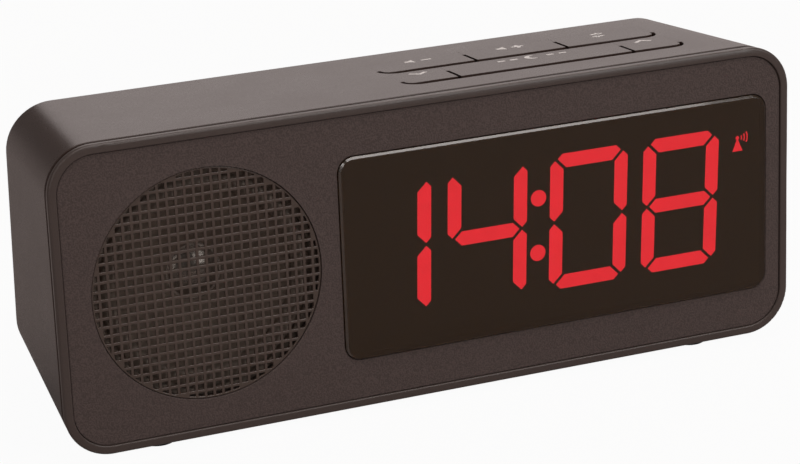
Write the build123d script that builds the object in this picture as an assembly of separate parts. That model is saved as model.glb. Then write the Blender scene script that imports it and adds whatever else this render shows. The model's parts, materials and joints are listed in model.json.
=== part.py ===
from build123d import *
from math import cos, radians, sin, tan
import os

os.makedirs("parts", exist_ok=True)

# Cabinet. The face leans back, the floor is level, the rear is upright, and all four sides close in behind.
WIDTH = 190.0
FACE_HEIGHT = 74.6
DEPTH = 58.0
LEAN = 5.0
FACE_RADIUS = 11.2
REAR_HEIGHT = 67.2
REAR_RADIUS = 11.6
SIDE_TAPER = 4.7
WALL = 2.4

# Rubber feet
FOOT_HEIGHT = 2.3
FOOT_RADIUS = 5.0
FOOT_SINK = 0.8
FOOT_GAP = 0.05
FOOT_SIDE = 24.2
FOOT_FRONT = 8.8
FOOT_REAR = 9.5

# Front frame: a rim, a ledge for the panel, and a skirt that plugs into the cabinet
RIM_WIDTH = 2.2
RIM_DEPTH = 2.1
RIM_ROUND = 0.7
GROOVE = 1.2
LEDGE_WIDTH = 4.0
SKIRT_GAP = 0.15
SKIRT_WALL = 1.8
SKIRT_DEPTH = 9.0
FRAME_SCREW_SIDE = 11.8
FRAME_BLOCK = 3.8

# Front panel
PANEL_RECESS = 0.5
PANEL_FLANGE = 1.0
PANEL_CORE = 1.5
SEAM = 0.12

# Speaker grille
GRILLE_LAND = 9.3
GRILLE_MARGIN = 8.65
GRILLE_SINK = 0.3
GRILLE_SHEET = 0.8
GRILLE_SEAT = 0.4
GRILLE_GAP = 0.1
HOLE_PITCH = 2.17
HOLE_SIDE = 1.44
HOLE_BORDER = 0.1
HOLE_LEAST = 0.15

# Display lens
LENS_LAND = 12.15
LENS_CLEAR = 5.15
LENS_MARGIN = 6.4
LENS_RADIUS = 3.9
LENS_PROUD = 0.7
LENS_SHEET = 1.5
LENS_BEVEL = 0.5
LENS_GAP = 0.22
LENS_SEAT = 1.3

# Digits, colon and signal mark, seen through the lens
DIGIT_SIDE = 0.75
DIGIT_SPACE = 4.3
DIGIT_LAND = 6.65
DIGIT_SLANT = 2.2
COLON_SPACE = 6.1
MAST_SPACE = 11.95
STROKE = 3.55
STROKE_TIP = 1.25
STROKE_GAP = 0.35
STROKE_END = 0.7
DIGITS_RAISE = 0.6
COLON_RADIUS = 2.05
COLON_SPREAD = 6.9
SEGMENT_DEPTH = 1.2
MAST_CLEAR = 5.75
MAST_FOOT = 10.6
MAST_HEIGHT = 3.4
MAST_WIDTH = 2.9
MAST_TIP = 0.5
WAVE_FIRST = 1.0
WAVE_STEP = 0.8
WAVE_STROKE = 0.34
WAVE_ANGLE = 56.0
WAVE_COUNT = 3
HOUSING_GAP = 0.1
HOUSING_DEPTH = 8.6
TOUCH = 0.1

# Circuit boards and their screws
BOARD = 1.6
DISPLAY_BOARD_INSET = 0.9
DISPLAY_BOARD_LAND = 7.3
POST_RADIUS = 2.6
POST_INSET = 6.0
POST_RISE = 3.0
SCREW_RADIUS = 1.0
SCREW_GAP = 0.03
SCREW_HEAD = 2.1
SCREW_HEAD_HEIGHT = 1.4
SCREW_SLOT = 0.5
SCREW_LENGTH = 5.0

# Loudspeaker
SPEAKER_LIP = 0.5
BASKET_RIM = 1.4
BASKET_SEAT = 1.0
BASKET_SHEET = 0.8
BASKET_DEPTH = 14.0
BASKET_FOOT = 15.0
BASKET_RIBS = 4
BASKET_RIB_WIDTH = 8.0
ROLL_RADIUS = 2.0
ROLL_SHEET = 0.4
ROLL_INSET = 4.5
CONE_SHEET = 0.6
CONE_DEPTH = 11.4
COIL_RADIUS = 7.5
CAP_RISE = 2.6
MAGNET_RADIUS = 17.0
MAGNET_LENGTH = 8.0
PLATE_RADIUS = 15.5
PLATE = 1.5
CLAMP_OFFSET = 2.5
CLAMP_ANGLE = 45.0
CLAMP_BOSS = 2.3
CLAMP_HEAD = 3.1

# Tongue keys on the top
ROW_WIDTH = 75.0
ROW_MARGIN = 21.15
FRONT_ROW = 14.4
ROW_PITCH = 14.8
SLOT = 0.9
FRONT_SLOT = 2.1
HAIR = 0.03
SIDE_SLOT = 8.1
END_SLOT = 3.1
SLOT_CORNER = 4.5
KEY_CORNER = 2.4
KEY_REACH = 11.8
KEY_SHEET = 2.0
UNDERCUT = 4.0
SMALL_KEY = 14.0
NIB_RADIUS = 1.2
NIB_DROP = 2.0
NIB_BACK = 8.6

# Push switches under the keys
SWITCH_SIDE = 6.0
SWITCH_HEIGHT = 3.5
PLUNGER_RADIUS = 1.75
PLUNGER_GAP = 0.1
PLUNGER_RISE = 1.5
PLUNGER_SINK = 0.6
PLUNGER_ROOM = 1.1
KEY_TOUCH = 0.01
KEY_BOARD_LAND = 4.2
KEY_BOARD_SIDE = 5.6
KEY_POST = 2.2
KEY_POST_SIDE = 3.3
KEY_POST_INSET = 2.6
KEY_POST_ROOM = 1.0

# Rear cover, battery bay and door
COVER = 2.5
COVER_RECESS = 0.8
COVER_GAP = 0.2
BOSS_RADIUS = 3.4
BOSS_LENGTH = 10.0
BOSS_SIDE = 7.3
BOSS_LOW = 9.5
BOSS_HIGH = 9.0
BOSS_RIB = 3.0
COVER_SCREW = 1.45
COVER_SCREW_HEAD = 2.9
COVER_SCREW_SINK = 1.2
BAY_X = -45.0
BAY_Z = 33.0
BAY_LENGTH = 48.0
BAY_HEIGHT = 24.0
BAY_DEPTH = 12.5
BAY_WALL = 1.6
DOOR = 2.0
DOOR_LAP = 2.0
DOOR_GAP = 0.25
DOOR_PIN = 0.6
DOOR_PIN_LENGTH = 1.2
DOOR_PIN_GAP = 0.05
DOOR_SEAT_GAP = 0.1
GRIP_WIDTH = 12.0
GRIP_HEIGHT = 0.5
GRIP_PITCH = 1.6
GRIP_COUNT = 3
CONTACT = 0.4
CONTACT_SIDE = 9.0
CONTACT_PITCH = 11.5
CONTACT_BUTTON = 2.6
CONTACT_RISE = 1.2
VENT_WIDTH = 1.8
VENT_HEIGHT = 16.0
VENT_PITCH = 4.2
VENT_COUNT = 7
VENT_X = 32.0
VENT_Z = 27.0

# Main board and what stands on it
MAIN_LEFT = -20.0
MAIN_SIDE = 7.6
MAIN_DEPTH = 31.5
MAIN_BACK = 2.2
MAIN_RISE = 4.6
CHIP_X = 13.0
CHIP_BACK = 14.0
CHIP_SIDE = 12.0
CHIP_HEIGHT = 2.2
CAN_RADIUS = 4.0
CAN_HEIGHT = 12.0
CAN_X = 30.0
CAN_BACK = 10.0
CAN_PITCH = 10.0
CAN_COUNT = 3
SINK_X = -3.0
SINK_BACK = 15.0
SINK_LENGTH = 16.0
SINK_FIN = 1.2
SINK_PITCH = 3.0
SINK_FINS = 4
SINK_HEIGHT = 13.0
SINK_BASE = 3.0

# Low-voltage inlet
JACK_SIDE = 14.0
JACK_WIDTH = 9.0
JACK_LENGTH = 13.5
JACK_HEIGHT = 11.0
JACK_NOSE = 3.9
JACK_NOSE_GAP = 0.2
JACK_NOSE_SINK = 0.5
JACK_BORE = 2.85
JACK_BORE_DEPTH = 10.0
JACK_PIN = 1.05
JACK_PIN_SINK = 1.5
JACK_PIN_ROOT = 2.0
JACK_ROOT_RADIUS = 1.5

# Antenna gland, ferrite rod and coil
GLAND_X = 40.0
GLAND_RISE = 50.0
GLAND_BODY = 2.6
GLAND_FLANGE = 4.2
GLAND_LIP = 1.6
GLAND_BORE = 1.1
ROD_RADIUS = 4.0
ROD_LENGTH = 56.0
ROD_X = -2.0
ROD_Z = 46.0
ROD_BACK = 9.5
COIL_OUTER = 5.6
COIL_LENGTH = 22.0
COIL_GAP = 0.05
SADDLE = 4.0
SADDLE_HEIGHT = 12.0
SADDLE_PITCH = 42.0
SADDLE_GAP = 0.05
SADDLE_MOUTH = 3.6

LOW = (Align.CENTER, Align.CENTER, Align.MIN)
HIGH = (Align.CENTER, Align.CENTER, Align.MAX)
NEAR = (Align.CENTER, Align.MIN, Align.CENTER)
MID = FACE_HEIGHT / 2
REACH = 2 * WIDTH

# Three working planes: on the face looking out, on the rear looking forward, on the top looking up.
tilt = radians(LEAN)
FACE = Plane(origin=(0, -DEPTH / 2, FOOT_HEIGHT), x_dir=(1, 0, 0), z_dir=(0, -cos(tilt), sin(tilt)))
REAR = Plane(origin=(0, DEPTH / 2, FOOT_HEIGHT), x_dir=(1, 0, 0), z_dir=(0, -1, 0))
face_top = FACE.from_local_coords(Vector(0, FACE_HEIGHT, 0))
fall = Vector(0, DEPTH / 2, FOOT_HEIGHT + REAR_HEIGHT) - face_top
TOP = Plane(origin=face_top, x_dir=(1, 0, 0), z_dir=(0, -fall.Z, fall.Y))


def tube(inset):
    """The cabinet's outer form, or the same form drawn in by a wall."""
    front = RectangleRounded(WIDTH - 2 * inset, FACE_HEIGHT - 2 * inset, FACE_RADIUS - inset)
    back_width = WIDTH - 2 * SIDE_TAPER - 2 * inset
    back = RectangleRounded(back_width, REAR_HEIGHT - 2 * inset, REAR_RADIUS - inset)
    return loft([FACE * Pos(0, MID) * front, REAR * Pos(0, REAR_HEIGHT / 2) * back], ruled=True)


def face_plate(inset, near, far):
    """A rounded plate square to the face, drawn in from its outline, between two depths behind it."""
    sheet = RectangleRounded(WIDTH - 2 * inset, FACE_HEIGHT - 2 * inset, FACE_RADIUS - inset)
    return extrude(FACE.offset(-far) * Pos(0, MID) * sheet, far - near)


def face_block(x, v, width, height, near, far):
    """A square block on the face."""
    return FACE.offset(-far) * Pos(x, v) * Box(width, height, far - near, align=LOW)


def face_disc(x, v, radius, near, far):
    """A round block on the face."""
    return FACE.offset(-far) * Pos(x, v) * Cylinder(radius, far - near, align=LOW)


def top_block(x, s, width, length, high, low):
    """A square block under the top, from one height to a lower one."""
    return TOP * Pos(x, s, low) * Box(width, length, high - low, align=LOW)


def top_disc(x, s, radius, high, low):
    """A round block under the top."""
    return TOP * Pos(x, s, low) * Cylinder(radius, high - low, align=LOW)


def rear_disc(x, z, radius, near, far):
    """A round block along the depth, between two places on that axis."""
    return Pos(x, near, z) * Rot(-90, 0, 0) * Cylinder(radius, far - near, align=LOW)


def rear_block(x, z, width, height, near, far):
    """A square block along the depth."""
    return Pos(x, near, z) * Box(width, far - near, height, align=NEAR)


def group(pieces):
    """Several loose solids under one name."""
    return Part() + list(pieces)


def screw(shank, length, head, head_height):
    """A pan-head screw whose head rests on its own zero plane, shank pointing down."""
    body = Cylinder(shank, length, align=HIGH) + Cylinder(head, head_height, align=LOW)
    bar = Box(SCREW_SLOT, 2 * head, 2 * SCREW_SLOT, align=HIGH)
    return body - Pos(0, 0, head_height + SCREW_SLOT) * bar


parts = {}
outer = tube(0)
floor_top = FOOT_HEIGHT + WALL

# What the face and the floor leave room for
grille_radius = MID - GRILLE_LAND
grille_x = -WIDTH / 2 + GRILLE_MARGIN + grille_radius
lens_width = WIDTH - GRILLE_MARGIN - 2 * grille_radius - LENS_CLEAR - LENS_MARGIN
lens_height = FACE_HEIGHT - 2 * LENS_LAND
lens_x = WIDTH / 2 - LENS_MARGIN - lens_width / 2
foot_x = WIDTH / 2 - FOOT_SIDE
frame_screw_x = foot_x - FRAME_SCREW_SIDE

# Cabinet tube, open at the front and the rear
cabinet_front = RIM_DEPTH + GROOVE
cabinet = outer - face_block(0, MID, REACH, REACH, -REACH, cabinet_front) - tube(WALL)

cover_out = DEPTH / 2 - COVER_RECESS
cover_in = cover_out - COVER
boss_x = WIDTH / 2 - SIDE_TAPER - BOSS_SIDE
boss_z = (FOOT_HEIGHT + BOSS_LOW, FOOT_HEIGHT + REAR_HEIGHT - BOSS_HIGH)
boss_places = [(side * boss_x, z) for side in (-1, 1) for z in boss_z]
boss_front = cover_in - BOSS_LENGTH
for x, z in boss_places:
    side = 1 if x > 0 else -1
    rise = 1 if z > MID else -1
    rib = Pos(x, boss_front, z) * Box(BOSS_RIB, BOSS_LENGTH, BOSS_RIB, align=NEAR)
    across = Box(2 * BOSS_SIDE, BOSS_LENGTH, BOSS_RIB, align=NEAR)
    upright = Box(BOSS_RIB, BOSS_LENGTH, 2 * BOSS_LOW, align=NEAR)
    rib += Pos(x + side * BOSS_SIDE, boss_front, z) * across
    rib += Pos(x, boss_front, z + rise * BOSS_LOW) * upright
    cabinet += (rib + rear_disc(x, z, BOSS_RADIUS, boss_front, cover_in)) & outer
for x, z in boss_places:
    cabinet -= rear_disc(x, z, COVER_SCREW + SCREW_GAP, boss_front + BOSS_RIB, DEPTH)

main_low = floor_top + MAIN_RISE
main_right = boss_x - BOSS_RADIUS - MAIN_SIDE
main_rear = cover_in - MAIN_BACK
main_front = main_rear - MAIN_DEPTH
main_x = (MAIN_LEFT + POST_INSET, main_right - POST_INSET)
main_y = (main_front + POST_INSET, main_rear - POST_INSET)
main_posts = [(x, y) for x in main_x for y in main_y]
for x, y in main_posts:
    post = Pos(x, y, FOOT_HEIGHT + WALL / 2) * Cylinder(POST_RADIUS, MAIN_RISE + WALL / 2, align=LOW)
    hole = Pos(x, y, floor_top) * Cylinder(SCREW_RADIUS + SCREW_GAP, MAIN_RISE + WALL, align=LOW)
    cabinet = cabinet + post - hole

# Key rows: the slots, the opening left in the cabinet, and the tongues that fill it
row_x = WIDTH / 2 - ROW_MARGIN - ROW_WIDTH / 2
row_left = row_x - ROW_WIDTH / 2
row_right = row_x + ROW_WIDTH / 2
third = ROW_WIDTH / 3
rows = {
    FRONT_ROW: (("key_down", "key_snooze", "key_up"), (row_left + SMALL_KEY, row_right - SMALL_KEY)),
    FRONT_ROW + ROW_PITCH: (
        ("key_volume_down", "key_volume_up", "key_mode"),
        (row_left + third, row_right - third),
    ),
}


def row_sheet(start, grow, ahead, corner):
    """The row's outline, its front corners rounded, grown or shrunk at the sides and the front."""
    nose = RectangleRounded(ROW_WIDTH + 2 * grow, 2 * KEY_REACH, corner)
    nose = Pos(row_x, start + KEY_REACH - ahead) * nose
    keep = Pos(row_x, start) * Rectangle(2 * ROW_WIDTH, 2 * END_SLOT)
    edge = HAIR if grow > 0 else 0
    rest_length = KEY_REACH + edge - END_SLOT
    rest = Rectangle(ROW_WIDTH + 2 * edge, rest_length)
    return (nose & keep) + Pos(row_x, start + END_SLOT + rest_length / 2) * rest


switch_top = -(KEY_SHEET + NIB_DROP + PLUNGER_RISE)
board_top = switch_top - SWITCH_HEIGHT
board_low = board_top - BOARD
switches = []
for start, (names, splits) in rows.items():
    opening = row_sheet(start, SLOT / 2, FRONT_SLOT - SLOT / 2, SLOT_CORNER)
    cabinet -= extrude(TOP * opening, WALL, both=True)
    hinge = start + KEY_REACH
    press = hinge - NIB_BACK
    edges = (row_left, *splits, row_right)
    for name, left, right in zip(names, edges, edges[1:]):
        middle = (left + right) / 2
        sheet = row_sheet(start, -SLOT / 2, -SLOT / 2, KEY_CORNER - SLOT / 2)
        sheet &= Pos(middle, hinge) * Rectangle(right - left, 2 * ROW_WIDTH)
        for split in splits:
            sheet -= Pos(split, start) * Rectangle(SLOT, 2 * SIDE_SLOT)
            sheet -= Pos(split, start) * Rectangle(2 * HAIR, 2 * ROW_WIDTH)
        key = extrude(TOP * sheet, -KEY_SHEET)
        relief = Box(REACH, REACH, REACH, align=NEAR)
        key -= TOP * Pos(0, hinge, 0) * Rot(-UNDERCUT, 0, 0) * relief
        nib_tip = -(KEY_SHEET + NIB_DROP)
        key += top_disc(middle, press, NIB_RADIUS, -KEY_SHEET, nib_tip + NIB_RADIUS)
        key += TOP * Pos(middle, press, nib_tip + NIB_RADIUS) * Sphere(NIB_RADIUS)
        parts[name] = key
        body = top_block(middle, press, SWITCH_SIDE, SWITCH_SIDE, switch_top, board_top)
        body -= top_disc(middle, press, PLUNGER_RADIUS + PLUNGER_GAP, 0, switch_top - PLUNGER_ROOM)
        switches.append(body)
        plunger_top = nib_tip - KEY_TOUCH
        parts[name.replace("key", "plunger")] = top_disc(
            middle, press, PLUNGER_RADIUS, plunger_top, switch_top - PLUNGER_SINK
        )
parts["switch_bodies"] = group(switches)

# Key board, hung from the top on four posts
key_board_front = FRONT_ROW + KEY_REACH - NIB_BACK - KEY_BOARD_LAND
key_board_length = ROW_PITCH + 2 * KEY_BOARD_LAND
key_board_rear = key_board_front + key_board_length
key_board_middle = (key_board_front + key_board_rear) / 2
key_board = top_block(
    row_x, key_board_middle, ROW_WIDTH + 2 * KEY_BOARD_SIDE, key_board_length, board_top, board_low
)
key_screw_top = board_low + SCREW_LENGTH + KEY_POST_ROOM
key_screws = []
for x in (row_left - KEY_POST_SIDE, row_right + KEY_POST_SIDE):
    for s in (key_board_front + KEY_POST_INSET, key_board_rear - KEY_POST_INSET):
        cabinet += top_disc(x, s, KEY_POST, -WALL / 2, board_top)
        cabinet -= top_disc(x, s, SCREW_RADIUS + SCREW_GAP, key_screw_top, board_top)
        key_board -= top_disc(x, s, SCREW_RADIUS + SCREW_GAP, 0, board_low)
        flip = Rot(180, 0, 0) * screw(SCREW_RADIUS, SCREW_LENGTH, SCREW_HEAD, SCREW_HEAD_HEIGHT)
        key_screws.append(TOP * Pos(x, s, board_low) * flip)
parts["key_board"] = key_board
parts["key_board_screws"] = group(key_screws)

# Feet
foot_places = [
    (side * foot_x, y)
    for side in (-1, 1)
    for y in (-DEPTH / 2 + FOOT_FRONT, DEPTH / 2 - FOOT_REAR)
]
feet = []
for x, y in foot_places:
    recess = Cylinder(FOOT_RADIUS + FOOT_GAP, FOOT_HEIGHT + FOOT_SINK, align=LOW)
    cabinet -= Pos(x, y, 0) * recess
    feet.append(Pos(x, y, 0) * Cylinder(FOOT_RADIUS, FOOT_HEIGHT + FOOT_SINK, align=LOW))
parts["rubber_feet"] = group(feet)

# Front frame, screwed up through the cabinet's floor
rim_in = RIM_WIDTH
ledge_in = RIM_WIDTH + LEDGE_WIDTH
panel_front = PANEL_RECESS
panel_seat = PANEL_RECESS + PANEL_FLANGE
panel_back = panel_seat + PANEL_CORE
skirt_in = WALL + SKIRT_GAP
frame = outer & face_block(0, MID, REACH, REACH, 0, RIM_DEPTH)
frame_face = frame.faces().sort_by(Axis(FACE.origin, FACE.z_dir))[-1]
frame = fillet(frame_face.outer_wire().edges(), RIM_ROUND)
skirt = tube(skirt_in) & face_block(0, MID, REACH, REACH, panel_seat, SKIRT_DEPTH)
skirt -= tube(skirt_in + SKIRT_WALL)
block_v = skirt_in + FRAME_BLOCK / 2 + SKIRT_WALL / 2
for side in (-1, 1):
    block_height = FRAME_BLOCK + SKIRT_WALL
    block = face_block(
        side * frame_screw_x, block_v, 3 * SCREW_HEAD, block_height, panel_back + TOUCH, SKIRT_DEPTH
    )
    skirt += block & tube(skirt_in)
frame += skirt
frame -= face_plate(rim_in, -REACH, panel_seat)
frame -= face_plate(ledge_in, -REACH, RIM_DEPTH)
frame_screws = []
frame_screw_y = -DEPTH / 2 + (cabinet_front + SKIRT_DEPTH) / 2
for side in (-1, 1):
    place = Pos(side * frame_screw_x, frame_screw_y, FOOT_HEIGHT + SCREW_HEAD_HEIGHT)
    cabinet -= Pos(side * frame_screw_x, frame_screw_y, 0) * Cylinder(
        SCREW_HEAD + SCREW_GAP, FOOT_HEIGHT + SCREW_HEAD_HEIGHT, align=LOW
    )
    cabinet -= place * Cylinder(SCREW_RADIUS + SCREW_GAP, WALL, align=LOW)
    frame -= place * Cylinder(SCREW_RADIUS + SCREW_GAP, SCREW_LENGTH + SCREW_GAP, align=LOW)
    flip = Rot(180, 0, 0) * screw(SCREW_RADIUS, SCREW_LENGTH, SCREW_HEAD, SCREW_HEAD_HEIGHT)
    frame_screws.append(place * flip)
parts["front_frame"] = frame
parts["front_frame_screws"] = group(frame_screws)
parts["cabinet"] = cabinet

# Front panel with its grille opening, lens pocket, board posts and speaker bosses
grille_front = panel_front + GRILLE_SINK
grille_back = grille_front + GRILLE_SHEET
lens_front = panel_front - LENS_PROUD
lens_back = lens_front + LENS_SHEET
panel = face_plate(rim_in + SEAM, panel_front, panel_seat)
panel += face_plate(ledge_in + SEAM, panel_seat, panel_back)
panel -= face_disc(grille_x, MID, grille_radius + GRILLE_GAP, 0, grille_back)
panel -= face_disc(grille_x, MID, grille_radius - GRILLE_SEAT, 0, panel_back)
pocket = RectangleRounded(lens_width + 2 * LENS_GAP, lens_height + 2 * LENS_GAP, LENS_RADIUS + LENS_GAP)
panel -= extrude(FACE.offset(-lens_back) * Pos(lens_x, MID) * pocket, lens_back)
window_width = lens_width - 2 * LENS_SEAT
window_height = lens_height - 2 * LENS_SEAT
panel -= face_block(lens_x, MID, window_width, window_height, 0, panel_back)

housing_front = lens_back + TOUCH
housing_back = housing_front + HOUSING_DEPTH
display_width = lens_width - 2 * DISPLAY_BOARD_INSET
display_height = FACE_HEIGHT - 2 * DISPLAY_BOARD_LAND
post_x = display_width / 2 - POST_INSET
post_v = display_height / 2 - POST_RISE
display_board = face_block(
    lens_x, MID, display_width, display_height, housing_back, housing_back + BOARD
)
display_screws = []
for x in (lens_x - post_x, lens_x + post_x):
    for v in (MID - post_v, MID + post_v):
        board_back = housing_back + BOARD
        panel += face_disc(x, v, POST_RADIUS, panel_seat, housing_back)
        panel -= face_disc(x, v, SCREW_RADIUS + SCREW_GAP, panel_back, housing_back)
        display_board -= face_disc(x, v, SCREW_RADIUS + SCREW_GAP, 0, board_back)
        flip = Rot(180, 0, 0) * screw(SCREW_RADIUS, SCREW_LENGTH, SCREW_HEAD, SCREW_HEAD_HEIGHT)
        display_screws.append(FACE.offset(-board_back) * Pos(x, v) * flip)
parts["display_board"] = display_board
parts["display_board_screws"] = group(display_screws)

speaker_radius = grille_radius + SPEAKER_LIP
seat_front = panel_back + BASKET_RIM
rim_back = seat_front + BASKET_SEAT
clamp = (speaker_radius + CLAMP_OFFSET) * sin(radians(CLAMP_ANGLE))
clamps = []
for dx in (-clamp, clamp):
    for dv in (-clamp, clamp):
        x = grille_x + dx
        v = MID + dv
        panel += face_disc(x, v, CLAMP_BOSS, panel_seat, rim_back)
        panel -= face_disc(x, v, SCREW_RADIUS + SCREW_GAP, panel_seat, rim_back)
        shank = rim_back - panel_seat - SCREW_GAP
        flip = Rot(180, 0, 0) * screw(SCREW_RADIUS, shank, CLAMP_HEAD, SCREW_HEAD_HEIGHT)
        clamps.append(FACE.offset(-rim_back) * Pos(x, v) * flip)
parts["front_panel"] = panel
parts["speaker_screws"] = group(clamps)

# Grille: one sheet of square holes. The border cuts the outer ones short, and slivers are left out.
hole_reach = grille_radius - GRILLE_SEAT - HOLE_BORDER
hole_steps = int(hole_reach / HOLE_PITCH) + 1
holes = []
for i in range(-hole_steps, hole_steps):
    for j in range(-hole_steps, hole_steps):
        x = (i + 1 / 2) * HOLE_PITCH
        v = (j + 1 / 2) * HOLE_PITCH
        far_corner = Vector(abs(x) + HOLE_SIDE / 2, abs(v) + HOLE_SIDE / 2, 0)
        near_corner = Vector(abs(x) - HOLE_SIDE / 2, abs(v) - HOLE_SIDE / 2, 0)
        hole = Pos(x, v) * Rectangle(HOLE_SIDE, HOLE_SIDE)
        if near_corner.length < hole_reach < far_corner.length:
            hole &= Circle(hole_reach)
        elif far_corner.length > hole_reach:
            continue
        if hole.area > HOLE_LEAST * HOLE_SIDE ** 2:
            holes.append(hole.face().outer_wire())
mesh = Face(Wire.make_circle(grille_radius), holes)
parts["speaker_grille"] = extrude(FACE.offset(-grille_back) * Pos(grille_x, MID) * mesh, GRILLE_SHEET)

# Lens with a bevelled front edge
lens_sheet = RectangleRounded(lens_width, lens_height, LENS_RADIUS)
lens = extrude(FACE.offset(-lens_back) * Pos(lens_x, MID) * lens_sheet, LENS_SHEET)
lens_face = lens.faces().sort_by(Axis(FACE.origin, FACE.z_dir))[-1]
parts["display_lens"] = chamfer(lens_face.outer_wire().edges(), LENS_BEVEL)

# Seven-segment digits: mitred strokes whose tips lie near the outer edge
housing_width = window_width - 2 * HOUSING_GAP
housing_height = window_height - 2 * HOUSING_GAP
digits_room = housing_width - DIGIT_SIDE - 2 * DIGIT_SPACE - COLON_SPACE - MAST_SPACE
digit_width = digits_room / 4
digit_height = housing_height - 2 * DIGIT_LAND
digit_inner = (COLON_SPACE + digit_width) / 2
digit_outer = digit_inner + digit_width + DIGIT_SPACE
half_w = digit_width / 2
half_h = digit_height / 2
digits_x = lens_x - housing_width / 2 + DIGIT_SIDE + digit_outer + half_w
digits_v = MID + DIGITS_RAISE
mast_x = digit_outer + half_w + MAST_CLEAR
slant = tan(radians(DIGIT_SLANT))


def upright_stroke():
    """Corners of the stroke at the upper left of a digit centred on the origin."""
    low = STROKE_GAP
    high = half_h - STROKE_GAP
    return [
        (-half_w + STROKE_TIP, low),
        (-half_w + STROKE, low + STROKE - STROKE_TIP),
        (-half_w + STROKE, high - STROKE),
        (-half_w + STROKE_TIP, high - STROKE_TIP),
        (-half_w, high - 2 * STROKE_TIP),
        (-half_w, low + STROKE_TIP),
    ]


def level_stroke():
    """Corners of the stroke along the top of a digit centred on the origin."""
    inner = half_w - STROKE - STROKE_END
    tip = half_w - STROKE_TIP - STROKE_END
    shoulder = half_w - 2 * STROKE_TIP - STROKE_END
    return [
        (-inner, half_h - STROKE),
        (inner, half_h - STROKE),
        (tip, half_h - STROKE_TIP),
        (shoulder, half_h),
        (-shoulder, half_h),
        (-tip, half_h - STROKE_TIP),
    ]


def middle_stroke():
    """Corners of the stroke across the middle of a digit."""
    tip = half_w - STROKE_TIP - STROKE_END
    return [
        (-tip, 0),
        (-tip + STROKE / 2, -STROKE / 2),
        (tip - STROKE / 2, -STROKE / 2),
        (tip, 0),
        (tip - STROKE / 2, STROKE / 2),
        (-tip + STROKE / 2, STROKE / 2),
    ]


def stroke(points, across, rise):
    """A stroke turned over to its place in the digit, then slanted with it."""
    placed = [(across * x + slant * rise * v, rise * v) for x, v in points[::across * rise]]
    return Polygon(*placed, align=None)


strokes = {
    "top": stroke(level_stroke(), 1, 1),
    "bottom": stroke(level_stroke(), -1, -1),
    "middle": stroke(middle_stroke(), 1, 1),
    "upper_left": stroke(upright_stroke(), 1, 1),
    "lower_right": stroke(upright_stroke(), -1, -1),
    "upper_right": stroke(upright_stroke(), -1, 1),
    "lower_left": stroke(upright_stroke(), 1, -1),
}
one = ("upper_right", "lower_right")
four = ("upper_left", "upper_right", "middle", "lower_right")
zero = ("top", "bottom", "upper_left", "upper_right", "lower_left", "lower_right")
shown = (
    (-digit_outer, one),
    (-digit_inner, four),
    (digit_inner, zero),
    (digit_outer, tuple(strokes)),
)


def segment(sketch, x, v):
    """One window of the display, set into the front of its housing."""
    plane = FACE.offset(-housing_front - SEGMENT_DEPTH) * Pos(digits_x + x, digits_v + v)
    return Solid.extrude((plane * sketch).face(), FACE.z_dir * SEGMENT_DEPTH)


lit = []
unlit = []
for x, bright in shown:
    for name, sketch in strokes.items():
        (lit if name in bright else unlit).append(segment(sketch, x, 0))
for v in (-COLON_SPREAD, COLON_SPREAD):
    lit.append(segment(Circle(COLON_RADIUS), slant * v, v))
mast = Polygon((-MAST_WIDTH / 2, 0), (MAST_WIDTH / 2, 0), (0, MAST_HEIGHT), align=None)
mast += Pos(0, MAST_HEIGHT) * Circle(MAST_TIP)
lit.append(segment(mast, mast_x, MAST_FOOT))
for i in range(WAVE_COUNT):
    near = WAVE_FIRST + i * WAVE_STEP
    ring = Circle(near + WAVE_STROKE) - Circle(near)
    wedge = tan(radians(WAVE_ANGLE / 2)) * ROW_WIDTH
    ring &= Polygon((0, 0), (ROW_WIDTH, -wedge), (ROW_WIDTH, wedge), align=None)
    lit.append(segment(ring, mast_x, MAST_FOOT + MAST_HEIGHT))
housing = face_block(lens_x, MID, housing_width, housing_height, housing_front, housing_back)
parts["display_housing"] = housing - lit - unlit
parts["lit_segments"] = group(lit)
parts["unlit_segments"] = group(unlit)


def turned(points):
    """A solid of revolution about the speaker's axis, from radius and depth behind the face."""
    profile = Plane.XZ * Polygon(*[(r, -d) for r, d in points], align=None)
    return FACE * Pos(grille_x, MID) * revolve(profile, Axis.Z)


# Loudspeaker
roll_centre = grille_radius - ROLL_INSET
seat_in = roll_centre + ROLL_RADIUS - 2 * ROLL_SHEET
basket_back = BASKET_DEPTH + BASKET_SHEET
basket = turned([
    (seat_in, seat_front),
    (seat_in + 2 * BASKET_SHEET, seat_front),
    (seat_in + 2 * BASKET_SHEET, panel_back),
    (speaker_radius, panel_back),
    (speaker_radius, rim_back),
    (seat_in + 2 * BASKET_SHEET, rim_back),
    (BASKET_FOOT, basket_back),
    (COIL_RADIUS + BASKET_SHEET, basket_back),
    (COIL_RADIUS + BASKET_SHEET, BASKET_DEPTH),
    (BASKET_FOOT - BASKET_SHEET, BASKET_DEPTH),
    (seat_in, rim_back),
])
gate_low = rim_back + BASKET_SHEET
gate_high = BASKET_DEPTH - BASKET_SHEET
gates = face_disc(grille_x, MID, speaker_radius, gate_low, gate_high)
gates -= face_disc(grille_x, MID, BASKET_FOOT, gate_low, gate_high)
for i in range(BASKET_RIBS):
    turn = Rot(0, 0, i * 180 / BASKET_RIBS)
    bar = Box(2 * WIDTH, BASKET_RIB_WIDTH, gate_high - gate_low, align=LOW)
    gates -= FACE.offset(-gate_high) * Pos(grille_x, MID) * turn * bar
parts["speaker_basket"] = basket - gates

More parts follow.
